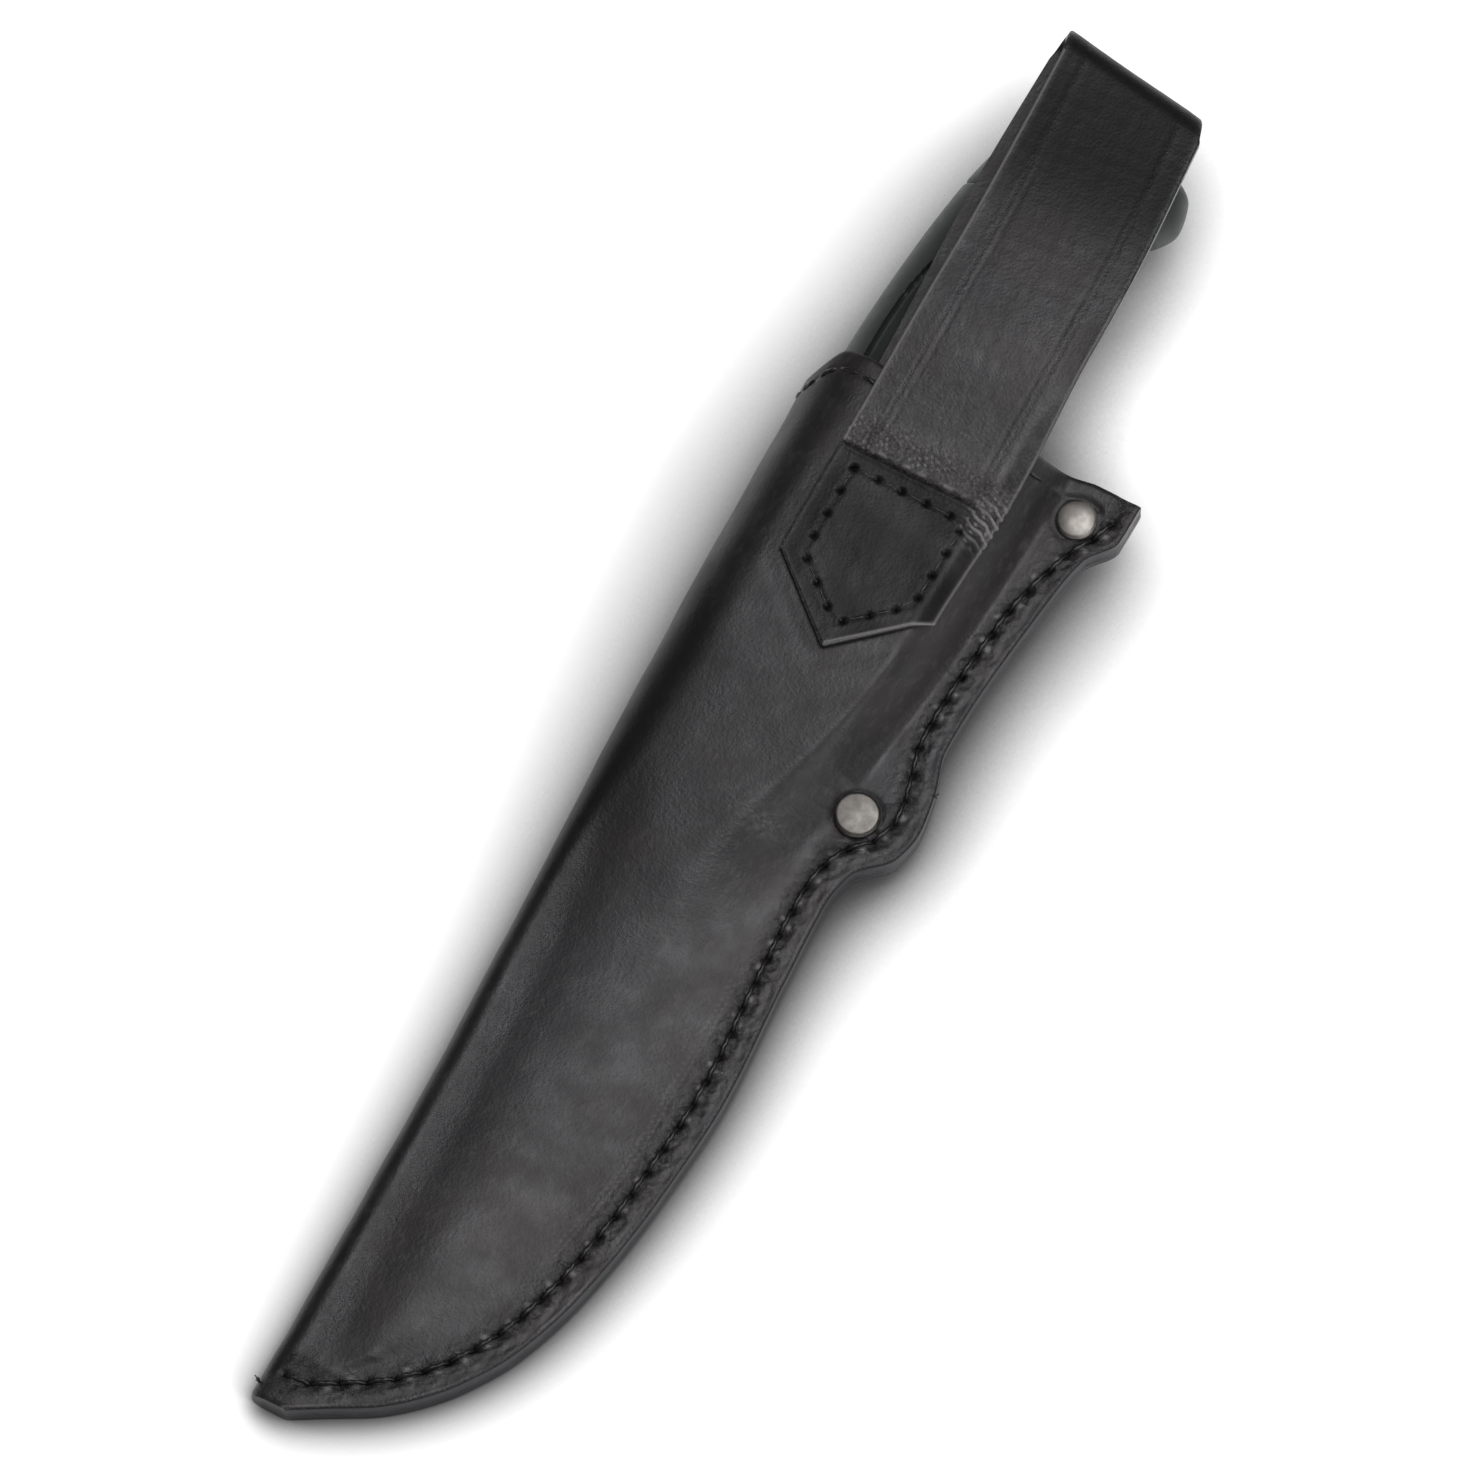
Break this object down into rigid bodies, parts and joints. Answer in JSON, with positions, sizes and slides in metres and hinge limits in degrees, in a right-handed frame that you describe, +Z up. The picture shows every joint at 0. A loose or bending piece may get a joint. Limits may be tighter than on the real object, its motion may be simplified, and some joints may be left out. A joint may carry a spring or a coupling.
{
  "type": "hori hori knife",
  "caption": "Sheathed hori hori garden knife: folded leather sheath with stitched welt seam, rivets and long belt loop; knife draws out.",
  "frame": {"origin": "centre of the bounding box in plan, on the plane that the sheath lies on", "axes": "+Y from the sheath's toe to the belt loop's top, +X from the folded side to the stitched side, +Z up, towards the back panel that carries the belt loop"},
  "size_m": [0.076, 0.3412, 0.0407],
  "materials": {
    "leather": "black, burnished",
    "leather_edge": "black, waxed cut edge",
    "thread": "black waxed cord",
    "nickel": "satin nickel",
    "steel": "satin ground",
    "grip_plastic": "moulded, matt",
    "grip_rubber": "matt rubber"
  },
  "bodies": {
    "sheath": {"pouch": "leather", "welt": "leather_edge", "belt_loop": "leather", "seam_thread": "thread", "mouth_thread": "thread", "tab_thread": "thread", "swell_rivet_cap": "nickel", "swell_rivet_stud": "nickel", "mouth_rivet_cap": "nickel", "mouth_rivet_stud": "nickel"},
    "knife": {"blade": "steel", "guard": "steel", "guard_spacer": "grip_rubber", "grip": "grip_plastic", "back_inlay": "grip_rubber", "front_inlay": "grip_rubber", "grip_pins": "nickel", "pommel": "grip_plastic", "pommel_nut": "steel", "lanyard_tube": "nickel"}
  },
  "joints": [
    {"name": "knife_draw", "type": "slide", "parent": "sheath", "child": "knife", "axis": [0, 0.9991, 0.0418], "range_m": [0, 0.25]}
  ]
}
